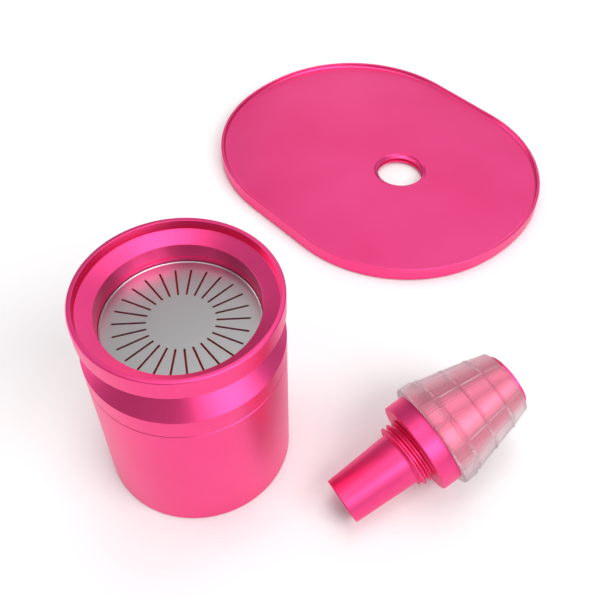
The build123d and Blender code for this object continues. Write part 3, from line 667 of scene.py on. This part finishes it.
def hole_loop(radius):
    """A circle round the hole's axis, with its points in line with the outline's."""
    return [TRAY_HOLE + (point - TRAY_HOLE).normalized() * radius for point in tray_loop(0)]


def mixed_loop(share):
    """Between the hole and the floor's edge."""
    edge = zip(hole_loop(THREAD_HOLE_EDGE_R), tray_loop(TRAY_FLOOR_INSET))
    return [inner.lerp(outer, share) for inner, outer in edge]


tray_sections = [
    (hole_loop(THREAD_HOLE_R), 0.9),
    (hole_loop(THREAD_HOLE_EDGE_R), 0.6),
    (tray_loop(TRAY_BASE_EDGE), 0.6),
]
for angle in (30, 60, 90):
    turn = math.radians(angle)
    loop = tray_loop(TRAY_BASE_EDGE - TRAY_BASE_EDGE * math.sin(turn))
    tray_sections.append((loop, 1.1 - TRAY_BASE_EDGE * math.cos(turn)))
for angle in (0, 22, 45, 68, 90):
    turn = math.radians(angle)
    loop = tray_loop(TRAY_TOP_OUTER - TRAY_TOP_OUTER * math.cos(turn))
    tray_sections.append((loop, 8.95 + TRAY_TOP_OUTER * math.sin(turn)))
for angle in (0, 30, 60, 90):
    turn = math.radians(angle)
    loop = tray_loop(1.5 + TRAY_TOP_INNER * math.sin(turn))
    tray_sections.append((loop, 9.1 + TRAY_TOP_INNER * math.cos(turn)))
for angle in (0, 15, 30, 45, 60, 75, 90):
    turn = math.radians(angle)
    loop = tray_loop(TRAY_FLOOR_INSET - TRAY_BEND_R * math.cos(turn))
    tray_sections.append((loop, 9.0 - TRAY_BEND_R * math.sin(turn)))
tray_sections += [(mixed_loop(share), TRAY_FLOOR) for share in (0.97, 0.5, 0.03)]
tray_sections += [(hole_loop(THREAD_HOLE_EDGE_R), TRAY_FLOOR), (hole_loop(THREAD_HOLE_R), 6.9)]

tray_vertices = []
for loop, height in tray_sections:
    tray_vertices += [(point.x * MM, point.y * MM, height * MM) for point in loop]
tray_faces = loft_faces(len(tray_sections), len(tray_loop(0)))
tray = mesh_piece("tray_plate", tray_vertices, tray_faces, materials["tray"], 35)
tray_ridge = helical_ridge(17.0, 14.65, -2.0, 0, 4, materials["tray"])
square_cut(tray_ridge, 14.0, 17.5, 1.0, 6.7, materials["tray"])
tray_ridge.data.transform(Matrix.Translation((TRAY_HOLE.x * MM, TRAY_HOLE.y * MM, 0)))
combine(tray, [tray_ridge], "UNION", 35)
tray_place = Matrix.Translation(TRAY_PLACE) @ Matrix.Rotation(TRAY_TURN, 4, "Z")
stand_in(tray, "dust_tray", "tray", tray_place)


# Spigot and sleeve, about the spigot's own axis, then laid down. It rests on the tube's end and on the
# sleeve's wide rim.
TUBE_END_R = 11.5
COLLAR_R = 23.1
COLLAR_ENDS = (42.3, 52.0)
CONE_FOOT_R = 22.4
CONE_TIP_R = 13.5
CONE_LENGTH = 44.9
SPIGOT_LENGTH = 98.8
BORE_R = 10.0
WIDE_BORE_R = 11.7
SLEEVE_RIM_R = 26.8
SLEEVE_START = COLLAR_ENDS[1]
SLEEVE_END = 96.6
SLEEVE_TIP_R = 16.5
SLEEVE_SLOPE = 0.232
SLEEVE_GAP = 0.3
BEADS = (61.7, 74.0, 86.7)
BEAD_HALF_WIDTH = 0.9
BEAD_HEIGHT = 1.0
PANEL_POINT = 6.2        # a point on the plain taper after each of the first two beads

heading = math.radians(31.9)
rise = math.atan((SLEEVE_RIM_R - TUBE_END_R) / SLEEVE_START)
along = Vector((math.cos(rise) * math.cos(heading), math.cos(rise) * math.sin(heading), math.sin(rise)))
across = Vector((math.sin(heading), -math.cos(heading), 0))
third = along.cross(across)
spigot_place = Matrix((across, third, along)).transposed().to_4x4()
spigot_place.translation = (70.2 * MM, -41.3 * MM, TUBE_END_R * MM * math.cos(rise))

spigot_outline = rounded([
    (BORE_R, 0, 0.2),
    (TUBE_END_R, 0, 0.25),
    (13.25, 34.55, 0),
    (14.3, 34.55, 0.1),
    (14.3, COLLAR_ENDS[0], 0),
    (COLLAR_R, COLLAR_ENDS[0], 0.6),
    (COLLAR_R, COLLAR_ENDS[1], 0.6),
    (CONE_FOOT_R, COLLAR_ENDS[1], 0),
    (CONE_TIP_R, 96.9, 0),
    (CONE_TIP_R, SPIGOT_LENGTH, 0.5),
    (WIDE_BORE_R, SPIGOT_LENGTH, 0.3),
    (WIDE_BORE_R, 60.0, 0),
    (BORE_R, 60.0, 0),
])
spigot = lathe("spigot_turned", spigot_outline, materials["spigot"], TURNED_STEPS, 30)
spigot_ridge = helical_ridge(14.0, 16.3, 36.6, 2, 5, materials["spigot"])
square_cut(spigot_ridge, 13.0, 18.0, 34.5, 42.4, materials["spigot"])
combine(spigot, [spigot_ridge], "UNION", 30)
stand_in(spigot, "spigot_body", "spigot", spigot_place)


def sleeve_taper(place):
    """Outer radius of the sleeve's plain taper, in mm."""
    return SLEEVE_TIP_R + SLEEVE_SLOPE * (SLEEVE_END - place)


def cone_radius(place):
    """Radius of the metal cone under the sleeve, in mm."""
    return CONE_FOOT_R + (place - SLEEVE_START) * (CONE_TIP_R - CONE_FOOT_R) / CONE_LENGTH


sleeve_profile = [
    (cone_radius(SLEEVE_START) + SLEEVE_GAP, SLEEVE_START, 0.3),
    (SLEEVE_RIM_R, SLEEVE_START, 0.9),
    (26.4, 59.1, 0.5),
    (sleeve_taper(60.1), 60.1, 0.3),
]
for bead in BEADS:
    before, after = bead - BEAD_HALF_WIDTH, bead + BEAD_HALF_WIDTH
    sleeve_profile.append((sleeve_taper(before), before, 0.15))
    sleeve_profile.append((sleeve_taper(bead) + BEAD_HEIGHT, bead, 0.55))
    sleeve_profile.append((sleeve_taper(after), after, 0.15))
    if bead != BEADS[-1]:
        sleeve_profile.append((sleeve_taper(bead + PANEL_POINT), bead + PANEL_POINT, 0))
sleeve_profile.append((SLEEVE_TIP_R, SLEEVE_END, 0.5))
sleeve_profile.append((cone_radius(SLEEVE_END) + SLEEVE_GAP, SLEEVE_END, 0.3))
sleeve_outline = rounded(sleeve_profile)

# Long ribs: (distance round the sleeve, height) across one rib, in mm, and plain columns between ribs.
RIB_COUNT = 6
RIB_TURN = math.radians(20.7)
RIB_SECTION = ((-0.8, 0), (-0.65, 0.33), (-0.4, 0.5), (0, 0.44), (0.4, 0.5), (0.65, 0.33), (0.8, 0))
RIB_REACH = (60.0, 96.0)
BETWEEN_RIBS = 32
PLAIN = -1               # the height that marks a column between ribs
OUTSIDE_SLACK = 0.2      # how far below the taper a point still counts as on the outside

sleeve_columns = []
for rib in range(RIB_COUNT):
    sleeve_columns += [(RIB_TURN + TAU * rib / RIB_COUNT, side, height) for side, height in RIB_SECTION]
    for step in range(1, BETWEEN_RIBS):
        angle = RIB_TURN + TAU * (rib + step / BETWEEN_RIBS) / RIB_COUNT
        sleeve_columns.append((angle, 0, PLAIN))
sleeve_vertices = []
for r, z in sleeve_outline:
    taper = sleeve_taper(z)
    outside = r > taper - OUTSIDE_SLACK and RIB_REACH[0] < z < RIB_REACH[1]
    for angle, side, height in sleeve_columns:
        radius = max(r, taper + height) if outside and height > 0 else r
        turn = angle + side / radius
        sleeve_vertices.append((radius * math.cos(turn) * MM, radius * math.sin(turn) * MM, z * MM))
sleeve_faces = loft_faces(len(sleeve_outline), len(sleeve_columns))
sleeve = mesh_piece("sleeve_moulded", sleeve_vertices, sleeve_faces, materials["silicone"], 50)
stand_in(sleeve, "silicone_sleeve", "sleeve", spigot_place)


# ---- floor --------------------------------------------------------------------------------------

FLOOR_SIZE = 12
FLOOR_GREY = (0.9, 0.9, 0.9)

bpy.ops.mesh.primitive_plane_add(size=FLOOR_SIZE, location=(0, 0, 0))
floor = bpy.context.active_object
floor.name = "floor"
floor_material, nodes, links, shader = new_material("pale_floor", FLOOR_GREY, 0.0, 0.9)
floor_grain = noise(nodes, links, coordinates_of(nodes), 300, 2)
bump(nodes, links, shader, floor_grain, 0.00002)
paint(floor, floor_material)
